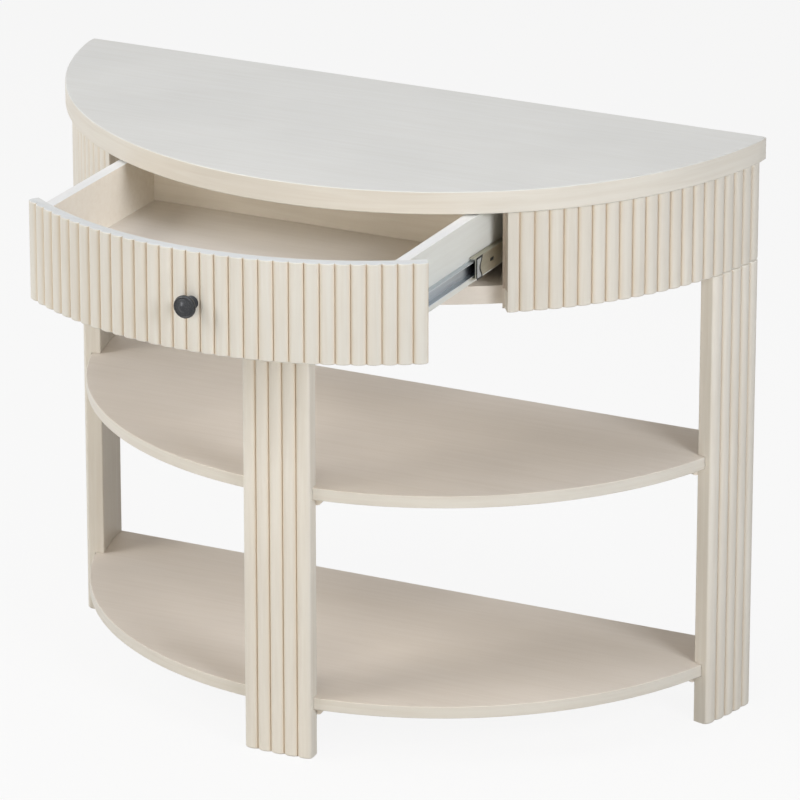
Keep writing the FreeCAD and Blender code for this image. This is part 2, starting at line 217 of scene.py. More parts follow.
def slice_away(obj: Object, point: Vector, normal: Vector) -> None:
    """Cuts off what lies beyond a point, in the direction of a normal, and closes the cut."""
    with editing(obj):
        bpy.ops.mesh.bisect(plane_co=point, plane_no=normal, use_fill=True, clear_outer=True)


def settle(obj: Object) -> None:
    """Bakes an object's place into its mesh and shades its curved faces smooth.

    Args:
        obj: The object to finish.
    """
    activate(obj)
    bake_place()
    bpy.ops.object.shade_smooth_by_angle(angle=SMOOTH_ANGLE)
    apply_modifier(obj, "WEIGHTED_NORMAL", keep_sharp=True)


def apply_modifier(obj: Object, kind: str, **settings: Any) -> None:
    """Adds a modifier to an object and applies it at once.

    Args:
        obj: The object to change.
        kind: Blender's name of the modifier.
        settings: The modifier's values.
    """
    activate(obj)
    made = obj.modifiers.new(kind.lower(), kind)
    for name, value in settings.items():
        setattr(made, name, value)
    bpy.ops.object.modifier_apply(modifier=made.name)


def new_object(name: str) -> Object:
    """Names the object that an operator has just added.

    Args:
        name: Name of the piece.

    Returns:
        The active object.
    """
    obj = bpy.context.object
    obj.name = name
    obj.data.name = name
    return obj


def add_block(name: str, low: Vector, high: Vector) -> Object:
    """Adds a block between two corners, as a start for a piece.

    Args:
        name: Name of the piece.
        low: Its lowest corner.
        high: Its highest corner.

    Returns:
        The block, with its place in its mesh.
    """
    deselect()
    bpy.ops.mesh.primitive_cube_add(size=1, location=(low + high) / 2, scale=high - low)
    obj = new_object(name)
    bake_place()
    return obj


def add_disc(name: str, radius: float, axis_y: float, low: float, high: float) -> Object:
    """Adds a round slab on the table's upright axis, as a start for a piece.

    Args:
        name: Name of the piece.
        radius: Its radius.
        axis_y: Where the axis stands.
        low: Height of its underside.
        high: Height of its upper side.

    Returns:
        The slab, with its place in its mesh.
    """
    deselect()
    bpy.ops.mesh.primitive_cylinder_add(
        vertices=DISC_POINTS, radius=radius, depth=high - low, location=(0, axis_y, (low + high) / 2))
    obj = new_object(name)
    bake_place()
    return obj


def ease_rim(obj: Object, width: float) -> None:
    """Rounds the arrises of a slab that was cut from a round one.

    Args:
        obj: The slab.
        width: Size of the rounding in metres.
    """
    with editing(obj):
        if pick(obj, Element.EDGE, lambda e: all(is_sliver(v, SLIVER_WIDTHS * width) for v in e.verts)):
            bpy.ops.mesh.dissolve_edges(use_verts=True)
        pick(obj, Element.EDGE, lambda e: is_corner(e, RIM_ARRIS))
        bevel(width, EASE_STEPS)
        close_up()
    settle(obj)


def merged_copy(node: str, ending: str) -> Object:
    """Copies a frame node with its doubled points merged and its flat faces whole.

    Args:
        node: The frame node to copy.
        ending: What follows the node's name in the copy's name.

    Returns:
        The copy.
    """
    obj = bpy.data.objects.new(node + ending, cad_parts[node].data.copy())
    bpy.context.scene.collection.objects.link(obj)
    with editing(obj):
        bpy.ops.mesh.remove_doubles(threshold=TINY)
        bpy.ops.mesh.dissolve_limited(angle_limit=MERGE_ANGLE)
    return obj


def eased_copy(node: str, width: float) -> Object:
    """Copies a frame node and eases its long arrises.

    Args:
        node: The frame node to copy.
        width: Size of the easing in metres.

    Returns:
        The eased piece.
    """
    obj = merged_copy(node, "_eased")
    with editing(obj):
        pick(obj, Element.EDGE, lambda e: is_corner(e, BOARD_ARRIS))
        bevel(width)
    settle(obj)
    return obj


# Materials


def linear(code: str) -> tuple[float, float, float, float]:
    """Turns an sRGB hex colour to linear values.

    Args:
        code: Six hex digits after a hash sign.

    Returns:
        Red, green, blue and full opacity.
    """
    parts = [int(code[i:i + 2], 16) / 255 for i in (1, 3, 5)]
    red, green, blue = (p / 12.92 if p <= 0.04045 else ((p + 0.055) / 1.055) ** 2.4 for p in parts)
    return red, green, blue, 1.0


def add_node(tree: NodeTree, kind: str, inputs: dict | None = None, out: int | str = 0,
             **settings: Any) -> NodeSocket | None:
    """Adds a node, sets its properties and fills or links its inputs.

    Args:
        tree: The node tree.
        kind: Blender's name of the node, without its first two words.
        inputs: Values or output sockets, by the input's name or place.
        out: The output that is wanted, by its name or place.
        settings: The node's properties.

    Returns:
        The wanted output, if the node has outputs.
    """
    made = tree.nodes.new("ShaderNode" + kind)
    for name, value in settings.items():
        setattr(made, name, value)
    for key, value in (inputs or {}).items():
        if isinstance(value, NodeSocket):
            tree.links.new(value, made.inputs[key])
        else:
            made.inputs[key].default_value = value
    return made.outputs[out] if made.outputs else None


def start_material(name: str) -> tuple[Material, NodeTree, NodeSocket]:
    """Makes an empty material.

    Args:
        name: The real material's name.

    Returns:
        The material, its node tree and the place on the piece.
    """
    material = bpy.data.materials.new(name)
    material.use_nodes = True
    tree = material.node_tree
    tree.nodes.clear()
    return material, tree, add_node(tree, "TexCoord", out="Object")


def close_material(material: Material, inputs: dict) -> Material:
    """Adds a material's surface shader and output.

    Args:
        material: What start_material returned.
        inputs: Values or output sockets for the shader.

    Returns:
        The finished material.
    """
    shader = add_node(material.node_tree, "BsdfPrincipled", inputs)
    add_node(material.node_tree, "OutputMaterial", {"Surface": shader})
    return material


@dataclass(frozen=True)
class LimedPaint:
    """Thin satin paint brushed over grained wood and wiped back, so streaks show and each groove turns tan,
    partly glaze and partly painted shade.

    The eye sees a soft cream with faint streaks along the grain, paler worn arrises and a
    warm line in each groove, partly tan glaze and partly painted shade of the groove.
    The wood's pores are drawn coarser than real ones, so that they show.
    """

    name: str
    colour: str
    streak: str
    grain: Grain
    axis_y: float
    groove_r: float = 0.0
    glaze_and_shade_end: float = math.pi
    tan_glaze_and_shade: str = "#D8C3A6"
    glaze_and_shade_mm: float = 4.4
    glaze_and_shade_share: float = 0.9
    glaze_and_shade_rise: float = 0.3
    groove_slack: float = 0.05 * MM
    worn: str = "#F1EDE4"
    worn_share: float = 0.3
    worn_range: Pair = (0.52, 0.6)
    rough: float = 0.5
    rough_spread: float = 0.07
    gloss: float = 0.25
    coat: float = 0.0
    coat_rough: float = 0.16
    streak_share: float = 0.5
    streak_range: Pair = (0.38, 0.74)
    streak_mm: float = 7.0
    run_mm: float = 150.0
    cloud_mm: float = 160.0
    cloud_range: Pair = (0.3, 0.7)
    cloud_tone: Pair = (0.965, 1.03)
    pore_mm: float = 1.6
    pore_run_mm: float = 37.5
    pore_depth_mm: float = 0.25
    pore_relief: float = 0.16

    def glazed_and_shaded(self, tree: NodeTree, colour: NodeSocket, radius: NodeSocket, turn: NodeSocket) -> NodeSocket:
        """Adds the tan on the grooves' upright faces: partly glaze left by the wiped paint, partly painted
        shade of the groove.

        Args:
            tree: The paint's node tree.
            colour: Colour of the wiped paint.
            radius: Distance from the table's upright axis.
            turn: Angle about that axis, from the middle of the front.

        Returns:
            The colour with the glaze and the painted groove shade in it.
        """
        # Painted shade: tan from each groove's floor outwards, partly glaze and partly the groove's shade.
        share = add_node(tree, "MapRange", {
            "Value": radius, "From Min": self.groove_r, "From Max": self.groove_r + self.glaze_and_shade_mm * MM,
            "To Min": self.glaze_and_shade_share, "To Max": 0.0})
        upward = add_node(tree, "SeparateXYZ", {0: add_node(tree, "NewGeometry", out="Normal")}, 2)
        aside, rise = (add_node(tree, "Math", {0: value}, operation="ABSOLUTE") for value in (turn, upward))
        for value, test, limit in (
                (radius, "GREATER_THAN", self.groove_r - self.groove_slack),
                (aside, "LESS_THAN", self.glaze_and_shade_end), (rise, "LESS_THAN", self.glaze_and_shade_rise)):
            passed = add_node(tree, "Math", {0: value, 1: limit}, operation=test)
            share = add_node(tree, "Math", {0: share, 1: passed}, operation="MULTIPLY")
        return add_node(tree, "Mix", {
            "Factor": share, 6: colour, 7: linear(self.tan_glaze_and_shade)}, 2, data_type="RGBA")

    def build(self) -> Material:
        """Makes the paint's nodes.

        Returns:
            The finished material.
        """
        material, tree, place = start_material(self.name)
        level = add_node(tree, "VectorMath", {
            0: place, 1: (1, -1, 0), 2: (0, self.axis_y, 0)}, operation="MULTIPLY_ADD")
        radius = add_node(tree, "VectorMath", {0: level}, "Value", operation="LENGTH")
        flat = add_node(tree, "SeparateXYZ", {0: level}).node.outputs
        turn = add_node(tree, "Math", {0: flat[0], 1: flat[1]}, operation="ARCTAN2")
        if self.grain is Grain.ROUND:
            run = add_node(tree, "Math", {0: turn, 1: radius}, operation="MULTIPLY")
            height = add_node(tree, "SeparateXYZ", {0: place}, 2)
            place = add_node(tree, "CombineXYZ", {0: run, 1: radius, 2: height})
        wide = add_node(tree, "Mapping", {
            "Vector": place, "Scale": self.grain.spread(self.streak_mm, self.run_mm)})
        streaks = add_node(tree, "TexNoise", {
            "Vector": wide, "Scale": 1.0, "Detail": 5.0, "Roughness": 0.6, "Distortion": 0.5})
        fine = add_node(tree, "Mapping", {
            "Vector": place, "Scale": self.grain.spread(self.pore_mm, self.pore_run_mm)})
        pores = add_node(tree, "TexNoise", {
            "Vector": fine, "Scale": 1.0, "Detail": 3.0, "Roughness": 0.55})
        cloud = add_node(tree, "TexNoise", {
            "Vector": place, "Scale": 1 / (self.cloud_mm * MM), "Detail": 2.0})
        share = add_node(tree, "MapRange", {
            "Value": streaks, "From Min": self.streak_range[0], "From Max": self.streak_range[1],
            "To Max": self.streak_share})
        body = add_node(tree, "Mix", {
            "Factor": share, 6: linear(self.colour), 7: linear(self.streak)}, 2, data_type="RGBA")
        tone = add_node(tree, "MapRange", {
            "Value": cloud, "From Min": self.cloud_range[0], "From Max": self.cloud_range[1],
            "To Min": self.cloud_tone[0], "To Max": self.cloud_tone[1]})
        colour = add_node(tree, "HueSaturation", {"Color": body, "Value": tone})
        if self.groove_r:
            colour = self.glazed_and_shaded(tree, colour, radius, turn)
        edge = add_node(tree, "MapRange", {
            "Value": add_node(tree, "NewGeometry", out="Pointiness"), "From Min": self.worn_range[0],
            "From Max": self.worn_range[1], "To Max": self.worn_share})
        return close_material(material, {
            "Base Color": add_node(tree, "Mix", {
                "Factor": edge, 6: colour, 7: linear(self.worn)}, 2, data_type="RGBA"),
            "Roughness": add_node(tree, "MapRange", {
                "Value": streaks, "To Min": self.rough - self.rough_spread,
                "To Max": self.rough + self.rough_spread}),
            "Normal": add_node(tree, "Bump", {
                "Height": pores, "Strength": self.pore_relief, "Distance": self.pore_depth_mm * MM}),
            "Specular IOR Level": self.gloss, "Coat Weight": self.coat, "Coat Roughness": self.coat_rough})


@dataclass(frozen=True)
class BareWood:
    """Unpainted plywood or beech, dull and brown, with short dark pores along the grain."""

    name: str
    colour: str
    dark: str
    grain: Grain
    pore_mm: float = 1.2
    run_mm: float = 40.0
    pore_range: Pair = (0.35, 0.7)
    pore_depth_mm: float = 0.3
    pore_relief: float = 0.3
    rough_range: Pair = (0.66, 0.86)

    def build(self) -> Material:
        """Makes the wood's nodes.

        Returns:
            The finished material.
        """
        material, tree, place = start_material(self.name)
        fibres = add_node(tree, "Mapping", {
            "Vector": place, "Scale": self.grain.spread(self.pore_mm, self.run_mm)})
        pores = add_node(tree, "TexNoise", {
            "Vector": fibres, "Scale": 1.0, "Detail": 5.0, "Roughness": 0.65})
        share = add_node(tree, "MapRange", {
            "Value": pores, "From Min": self.pore_range[0], "From Max": self.pore_range[1]})
        return close_material(material, {
            "Base Color": add_node(tree, "Mix", {
                "Factor": share, 6: linear(self.colour), 7: linear(self.dark)}, 2, data_type="RGBA"),
            "Roughness": add_node(tree, "MapRange", {
                "Value": pores, "To Min": self.rough_range[0], "To Max": self.rough_range[1]}),
            "Normal": add_node(tree, "Bump", {
                "Height": pores, "Strength": self.pore_relief, "Distance": self.pore_depth_mm * MM})})


@dataclass(frozen=True)
class PlatedMetal:
    """Rolled steel or cast zinc with a thin coating, streaked by rolling or worn pale on its arrises."""

    name: str
    colour: str
    bright: str
    metallic: float
    rough: float
    mark_mm: Triple
    worn_share: float = 0.5
    worn_range: Pair = (0.52, 0.62)
    speck_range: Pair = (0.45, 0.8)
    smoother: float = 0.09
    rougher: float = 0.12
    mark_depth_mm: float = 0.1
    mark_relief: float = 0.1

    def build(self) -> Material:
        """Makes the metal's nodes.

        Returns:
            The finished material.
        """
        material, tree, place = start_material(self.name)
        marks = add_node(tree, "Mapping", {
            "Vector": place, "Scale": tuple(1 / (s * MM) for s in self.mark_mm)})
        noise = add_node(tree, "TexNoise", {
            "Vector": marks, "Scale": 1.0, "Detail": 4.0, "Roughness": 0.6})
        edge = add_node(tree, "NewGeometry", out="Pointiness")
        worn, speck = (add_node(tree, "MapRange", {
            "Value": value, "From Min": low, "From Max": high, "To Max": self.worn_share})
                       for value, (low, high) in ((edge, self.worn_range), (noise, self.speck_range)))
        share = add_node(tree, "Math", {0: worn, 1: speck}, operation="ADD", use_clamp=True)
        return close_material(material, {
            "Base Color": add_node(tree, "Mix", {
                "Factor": share, 6: linear(self.colour), 7: linear(self.bright)}, 2, data_type="RGBA"),
            "Roughness": add_node(tree, "MapRange", {
                "Value": noise, "To Min": self.rough - self.smoother,
                "To Max": self.rough + self.rougher}),
            "Normal": add_node(tree, "Bump", {
                "Height": noise, "Strength": self.mark_relief, "Distance": self.mark_depth_mm * MM}),
            "Metallic": self.metallic})


def dress(obj: Object, material: Material) -> None:
    """Gives a piece one finish all over."""
    obj.data.materials.clear()
    obj.data.materials.append(material)


def dress_faces(obj: Object, material: Material, test: Test) -> None:
    """Gives some faces of a dressed piece another finish.

    Args:
        obj: The piece.
        material: The other finish.
        test: Takes a face and says whether it gets that finish.
    """
    obj.data.materials.append(material)
    with editing(obj):
        pick(obj, Element.FACE, test)
        obj.active_material_index = len(obj.data.materials) - 1
        bpy.ops.object.material_slot_assign()


def hand_over(obj: Object, body: Body, slot: str, *nodes: str) -> None:
    """Lets a finished piece ride on its body and stand for its frame nodes.

    Args:
        obj: The piece.
        body: The body that it moves with.
        slot: Not used.
        nodes: The frame nodes that it stands for.
    """
    if nodes:
        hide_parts(*nodes)
    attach(obj, body.value)
    LOG.info("%s: %d faces on %s", obj.name, len(obj.data.polygons), body.value)


@dataclass
class Piece:
    """Finished shape, the frame node that it stands for, if any, and the finishes of its faces."""

    obj: Object
    node: str | None
    finish: str
    others: dict[str, Test] = field(default_factory=dict)
    slot: str = "painted_wood"
    body: Body = Body.CARCASS

    def dress(self, finishes: Finishes) -> None:
        """Gives the piece its finishes and hands it over.

        Args:
            finishes: The table's finishes.
        """
        dress(self.obj, finishes[self.finish])
        for finish, test in self.others.items():
            dress_faces(self.obj, finishes[finish], test)
        hand_over(self.obj, self.body, self.slot, *([self.node] if self.node else []))


# The table


@dataclass
class TableSizes:
    """Sizes that the sub-assemblies share, in metres, the first ones read from the frame."""

    top: tuple[Vector, Vector] = field(default_factory=lambda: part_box("top_panel"))
    front: tuple[Vector, Vector] = field(default_factory=lambda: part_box("drawer_front"))
    top_return: float = 16 * MM
    overhang: float = 8 * MM
    reed_depth: float = 5.0 * MM
    fascia_t: float = 18 * MM
    front_t: float = 16 * MM
    leg_t: float = 24 * MM
    leg_head_ease: float = 2.6 * MM
    shelf_inset: float = 20 * MM
    notch_gap: float = 0.8 * MM
    notch_head: float = 0.4 * MM
    front_end_gap: float = 3.6 * MM
    drawer_reeds: int = 31
    side_reeds: int = 21
    leg_reeds: int = 5

    def __post_init__(self) -> None:
        """Works out the radii and angles from the overall sizes."""
        low, high = self.top
        width, depth = high.x - low.x, high.y - low.y - self.top_return
        self.back_y = high.y
        self.half_width = width / 2
        self.top_r = (width ** 2 / 4 + depth ** 2) / (2 * depth)
        self.axis_y = low.y + self.top_r
        self.crest_r = self.top_r - self.overhang
        self.groove_r = self.crest_r - self.reed_depth
        self.shelf_r = self.top_r - self.shelf_inset
        self.leg_r = self.crest_r - self.leg_t
        self.span = math.acos((self.axis_y - self.back_y) / self.groove_r)
        self.pitch = 2 * self.span / (self.drawer_reeds + 2 * self.side_reeds)
        self.drawer_turn = self.drawer_reeds * self.pitch / 2
        self.leg_turn = self.leg_reeds * self.pitch / 2
        # The painted groove shade and glaze stop half a reed short of the back.
        self.glaze_and_shade_end = self.span - self.pitch / 2
        self.drawer_axis_y = self.front[0].y + self.crest_r


def cut_back(obj: Object, sizes: TableSizes) -> None:
    """Cuts a piece off at the table's straight back."""
    slice_away(obj, Vector((0, sizes.back_y, 0)), Vector((0, 1, 0)))


def build_finishes(sizes: TableSizes) -> Finishes:
    """Builds every paint, wood and metal of the table.

    Args:
        sizes: The table's sizes.

    Returns:
        The finishes, each by what it covers or what it is.
    """
    streak = "#D0C7B8"
    cream, leg_cream, rolled = ("#DFDACF", streak), ("#E5E0D5", "#D6CDBE"), (2, 60, 0.6)
    satin = {"rough": 0.36, "gloss": 0.42, "coat": 0.06, "streak_share": 0.3}
    # The reeded finishes tan each groove, partly glaze and partly painted shade.
    reeded = {"groove_r": sizes.groove_r, "glaze_and_shade_end": sizes.glaze_and_shade_end}
    front = {"groove_r": sizes.groove_r, "axis_y": sizes.drawer_axis_y}
    made = {}
    for cover, colours, grain, settings in (
            # Painted reflection: the top's flat faces get a greyer, cooler copy of the cream, for the cool
            # overhead light mirrored in the satin top.
            ("top", ("#DBDAD4", "#CFCBC1"), Grain.ALONG, satin),
            ("edges", cream, Grain.ROUND, {}),
            # Painted light: shelves, boards, cleats and the drawer bottom get a lighter, warmer copy of the
            # cream, lifting the shade under the top.
            ("boards", ("#E8DFD3", "#DACFC0"), Grain.ALONG, {"streak_share": 0.3}),
            ("drawer_sides", ("#E2E3DC", "#D6D4CB"), Grain.DEEP, {}),
            # Painted light: faces inside the drawer get a lighter, warmer copy of the paint, lifting their
            # shade and standing in for warm bounced light.
            ("drawer_inside_painted_light", ("#F0E7D8", "#E0D3C0"), Grain.ALONG, {}),
            # Painted light: upward faces of the drawer and of its front get whiter, cooler copies of the
            # paint, for the light falling on them from above.
            ("drawer_tops_painted_light", ("#F0F0EE", "#E4E2DD"), Grain.DEEP, {}),
            ("front_top_painted_light", ("#DFE1DF", "#D3D3CE"), Grain.ALONG, {}),
            ("reeds", cream, Grain.UPRIGHT, reeded),
            ("legs", leg_cream, Grain.UPRIGHT, reeded),
            ("leg_edges", leg_cream, Grain.UPRIGHT, {}),
            # Painted shade: the drawer front gets a slightly darker, cooler copy of the reeds' cream, toning
            # down the light on its face.
            ("drawer_front", ("#DAD7CE", streak), Grain.UPRIGHT, front)):
        settings = {"axis_y": sizes.axis_y} | settings
        made[cover] = LimedPaint("limed_paint_" + cover, *colours, grain, **settings).build()
    for finish in (
            BareWood("bare_plywood", "#D3C7B8", "#AFA191", Grain.UPRIGHT),
            BareWood("beech", "#C9A67E", "#A98460", Grain.UPRIGHT),
            PlatedMetal("zinc_plated_steel", "#A3ACB5", "#DCE1E6", 1.0, 0.34, rolled),
            PlatedMetal("yellow_zinc_plated_steel", "#BDBAAA", "#DEDBCD", 1.0, 0.4, rolled),
            # Blackened steel covers the slide cages and also the dark plate that paints the shadow round
            # each clip.
            PlatedMetal("blackened_steel_and_painted_shadow", "#2B2D2F", "#5A5C5E", 0.8, 0.42, (2, 2, 2), 0.25),
            PlatedMetal("oil_rubbed_bronze", "#3B3D40", "#7E7B78", 0.7, 0.36, (1.2, 1.2, 1.2), 0.35)):
        made[finish.name] = finish.build()
    return made


@dataclass
class Reeding:
    """Row of upright reeds on one arc, each rounded across and eased at its ends."""

    sizes: TableSizes
    columns: int = 16
    fullness: float = 2.1
    head_ease: float = 1.2 * MM
    foot_ease: float = 3.0 * MM

    def outline(self) -> list[Pair]:
        """Works out the reed's rounded section.

        Returns:
            Shares of the reed's half width and of its depth, from edge to edge.
        """
        found = []
        for i in range(self.columns + 1):
            turn = math.pi * (i / self.columns - 0.5)
            across = math.copysign(abs(math.sin(turn)) ** (2 / self.fullness), turn)
            found.append((across, 1 - abs(math.cos(turn)) ** (2 / self.fullness)))
        return found

    def strip(self, name: str, start: float, count: int, inner_r: float, axis_y: float,
              low: float, high: float) -> Object:
        """Models one reed and spins it into a row.

        Args:
            name: Name of the piece.
            start: Angle of the row's first edge, from the middle of the front.
            count: Number of reeds.
            inner_r: Radius of the smooth inner face.
            axis_y: Where the upright axis stands.
            low: Height of the lower end.
            high: Height of the upper end.

        Returns:
            The closed row of reeds.
        """
        s = self.sizes
        slope = math.tan(s.pitch / 2)
        half = s.groove_r * slope
        obj = add_block(name, Vector((-half, -s.crest_r, low)), Vector((half, -inner_r, high)))
        with editing(obj):
            pick(obj, Element.VERT, lambda v: v.co.y > -inner_r - TINY)
            bpy.ops.transform.resize(value=(inner_r / s.groove_r, 1, 1))
            pick(obj, Element.EDGE, lambda e: abs(e.verts[0].co.x - e.verts[1].co.x) > half)
            bpy.ops.mesh.subdivide(number_cuts=self.columns - 1)
            for i, (across, drop) in enumerate(self.outline()):
                place = (2 * i / self.columns - 1) * half
                pick(obj, Element.VERT, lambda v: v.co.y < TINY - s.crest_r and abs(v.co.x - place) < TINY)
                bpy.ops.transform.translate(value=(across * half - place, drop * s.reed_depth, 0))
            for level, ease in ((low, self.foot_ease), (high, self.head_ease)):
                pick(obj, Element.EDGE, lambda e: all(
                    abs(p.z - level) < TINY and p.y < -inner_r - TINY for p in points(e)))
                bevel(ease, EASE_STEPS)
            pick(obj, Element.FACE, lambda f: all(abs(abs(p.x) + p.y * slope) < TINY for p in points(f)))
            bpy.ops.mesh.delete(type="FACE")
            bpy.ops.mesh.select_all(action="SELECT")
            bpy.ops.mesh.spin(steps=count - 1, dupli=True, angle=-s.pitch * (count - 1),
                              center=(0, 0, 0), axis=(0, 0, 1))
            bpy.ops.mesh.select_all(action="SELECT")
            bpy.ops.mesh.remove_doubles(threshold=WELD)
            bpy.ops.mesh.fill_holes(sides=0)
            close_up()
            bpy.ops.mesh.dissolve_limited(angle_limit=REED_MERGE_ANGLE)
        obj.rotation_euler.z = start + s.pitch / 2
        obj.location.y = axis_y
        settle(obj)
        return obj


@dataclass
class Top:
    """Half-round top with short straight returns at the back corners."""

    sizes: TableSizes
    ease: float = 1.8 * MM

    def build(self) -> list[Piece]:
        """Cuts the top from a round slab and eases its arrises.

        Returns:
            The finished top.
        """
        s = self.sizes
        low, high = s.top
        obj = add_disc("top_panel_eased", s.top_r, s.axis_y, low.z, high.z)
        cut_back(obj, s)
        for side in (-1, 1):
            slice_away(obj, Vector((side * s.half_width, 0, 0)), Vector((side, 0, 0)))
        ease_rim(obj, self.ease)
        # Painted reflection: flat faces take the top's greyer copy of the cream; the upright edges keep the
        # cream.
        return [Piece(obj, "top_panel", "top", {"edges": is_upright})]


@dataclass
class Apron:
    """Reeded fascias, the boards behind them and what they enclose."""

    sizes: TableSizes
    reeding: Reeding
    ease: float = 0.7 * MM
    boards: Names = ("partition_left", "partition_right", "bottom_board", "back_rail", "leg_block")
    backings: Names = ("apron_backing_left", "apron_backing_right")

    def fascia(self, side: int) -> Piece:
        """Models one fascia, with a bare end beside the drawer.

        Args:
            side: -1 for the left one and 1 for the right one.

        Returns:
            The finished fascia.
        """
        s = self.sizes
        node = "apron_fascia_right" if side > 0 else "apron_fascia_left"
        low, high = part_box(node)
        obj = self.reeding.strip(node + "_reeded", s.drawer_turn if side > 0 else -s.span, s.side_reeds,
                                 s.crest_r - s.fascia_t, s.axis_y, low.z, high.z)
        cut_back(obj, s)
        turn = s.drawer_turn + s.front_end_gap / s.crest_r
        end = Vector((-side * math.cos(turn), -math.sin(turn), 0))
        slice_away(obj, Vector((0, s.axis_y, 0)), end)
        self.part_at_board(obj)
        return Piece(obj, node, "reeds", {
            "bare_plywood": lambda f: self.above_board(f) and f.normal.dot(end) > FLUSH})

    def part_at_board(self, obj: Object) -> None:
        """Cuts a piece's faces at the top of the bottom board, where its paint starts.

        Args:
            obj: The piece.
        """
        with editing(obj):
            bpy.ops.mesh.bisect(plane_co=(0, 0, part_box("bottom_board")[1].z), plane_no=(0, 0, 1))
        settle(obj)

    def above_board(self, face: Any) -> bool:
        """Says whether a face lies above the top of the bottom board."""
        return face.calc_center_median().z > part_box("bottom_board")[1].z

    def build(self) -> list[Piece]:
        """Models both fascias and the boards.

        Returns:
            The fascias, then the boards, then the backings.
        """
        made = [self.fascia(-1), self.fascia(1)]
        made += [Piece(eased_copy(n, self.ease), n, "boards") for n in self.boards]
        painted = {"boards": lambda f: not self.above_board(f)}
        for node in self.backings:
            made.append(Piece(eased_copy(node, self.ease), node, "bare_plywood", painted, "raw_wood"))
            self.part_at_board(made[-1].obj)
        return made


@dataclass
class Stand:
    """Three reeded legs, the two shelves housed in them and the cleats below."""

    sizes: TableSizes
    reeding: Reeding
    shelf_ease: float = 1.2 * MM
    leg_ease: float = 1.6 * MM
    leg_margin: float = 4 * MM
    cleat_ease: float = 0.6 * MM
    shelves: Names = ("shelf_middle", "shelf_lower")

    def shelf(self, node: str) -> Piece:
        """Models one shelf.

        Args:
            node: The frame node that it stands for.

        Returns:
            The finished shelf.
        """
        s = self.sizes
        low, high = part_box(node)
        obj = add_disc(node + "_eased", s.shelf_r, s.axis_y, low.z, high.z)
        cut_back(obj, s)
        ease_rim(obj, self.shelf_ease)
        # Painted light: the shelf's level faces take the lighter board paint, and its upright edges take the
        # cream.
        return Piece(obj, node, "boards", {"edges": is_upright})

    def leg(self, node: str, middle: float) -> Piece:
        """Models one leg, with a notch for each shelf.

        Args:
            node: The frame node that it stands for.
            middle: Angle of its middle, from the middle of the front.

        Returns:
            The finished leg.
        """
        s = self.sizes
        low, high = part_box(node)
        obj = self.reeding.strip(
            node + "_reeded", middle - s.leg_turn, s.leg_reeds, s.leg_r, s.axis_y, low.z, high.z)
        cut_back(obj, s)
        axis = Vector((0, s.axis_y))
        inner = s.leg_r + self.leg_margin
        with editing(obj):
            pick(obj, Element.EDGE, lambda e: is_corner(e, LEG_ARRIS) and all(
                (p.xy - axis).length < inner for p in points(e)))
            bevel(self.leg_ease, EASE_STEPS)
            close_up()
        for shelf in self.shelves:
            under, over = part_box(shelf)
            cutter = add_disc("notch", s.shelf_r + s.notch_gap, s.axis_y, under.z, over.z + s.notch_head)
            apply_modifier(obj, "BOOLEAN", object=cutter, operation="DIFFERENCE", solver="EXACT")
            bpy.data.objects.remove(cutter)
        settle(obj)
        return Piece(obj, node, "legs", {"leg_edges": lambda f: self.is_flank(f, middle)})

    def is_flank(self, face: Any, middle: float) -> bool:
        """Says whether a face lies on the outer half of the first or last reed of a leg."""
        x, y, _ = face.calc_center_median()
        return abs(math.atan2(x, self.sizes.axis_y - y) - middle) > (
            self.sizes.leg_turn - self.sizes.pitch / 2)

    def build(self) -> list[Piece]:
        """Models the shelves, legs and cleats.

        Returns:
            The shelves, then the legs, then the cleats.
        """
        made = [self.shelf(n) for n in self.shelves]
        aside = self.sizes.span - self.sizes.leg_turn
        for node, middle in (("leg_front", 0.0), ("leg_back_left", -aside), ("leg_back_right", aside)):
            made.append(self.leg(node, middle))
        for shelf in ("middle", "lower"):
            for side in ("front", "left", "right"):
                node = f"cleat_{shelf}_{side}"
                made.append(Piece(eased_copy(node, self.cleat_ease), node, "boards"))
        return made


@dataclass
class Knob:
    """Turned mushroom knob with a ringed face and a low dome."""

    place: tuple[Vector, Vector] = field(default_factory=lambda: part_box("knob"))
    steps: int = 48
    outline: tuple[Pair, ...] = (
        (0.0, 0.0), (0.56, 0.0), (0.585, 0.02), (0.585, 0.06), (0.55, 0.085), (0.43, 0.12), (0.36, 0.19),
        (0.34, 0.28), (0.35, 0.38), (0.43, 0.45), (0.62, 0.51), (0.86, 0.585), (0.975, 0.66), (1.0, 0.73),
        (0.985, 0.79), (0.93, 0.845), (0.87, 0.862), (0.82, 0.85), (0.79, 0.825), (0.76, 0.83), (0.62, 0.86),
        (0.46, 0.885), (0.4, 0.91), (0.3, 0.955), (0.16, 0.99), (0.0, 1.0))

    def build(self) -> Object:
        """Draws the knob's outline point by point and turns it about its axis.

        Returns:
            The finished knob.
        """
        low, high = self.place
        radius, length = (high.x - low.x) / 2, high.y - low.y
        deselect()
        bpy.ops.mesh.primitive_plane_add(size=radius, location=(0, 0, 0))
        obj = new_object("knob_turned")
        with editing(obj):
            bpy.ops.mesh.merge(type="CENTER")
            last = Vector((0, 0, 0))
            for share, along in self.outline[1:]:
                here = Vector((share * radius, -along * length, 0))
                bpy.ops.mesh.extrude_vertices_move(TRANSFORM_OT_translate={"value": here - last})
                last = here
            bpy.ops.mesh.select_all(action="SELECT")
            bpy.ops.mesh.spin(steps=self.steps, angle=2 * math.pi, center=(0, 0, 0), axis=(0, 1, 0))
            close_up()
        obj.location = Vector((0, high.y, (low.z + high.z) / 2))
        settle(obj)
        apply_modifier(obj, "SUBSURF", levels=1, render_levels=1)
        settle(obj)
        return obj


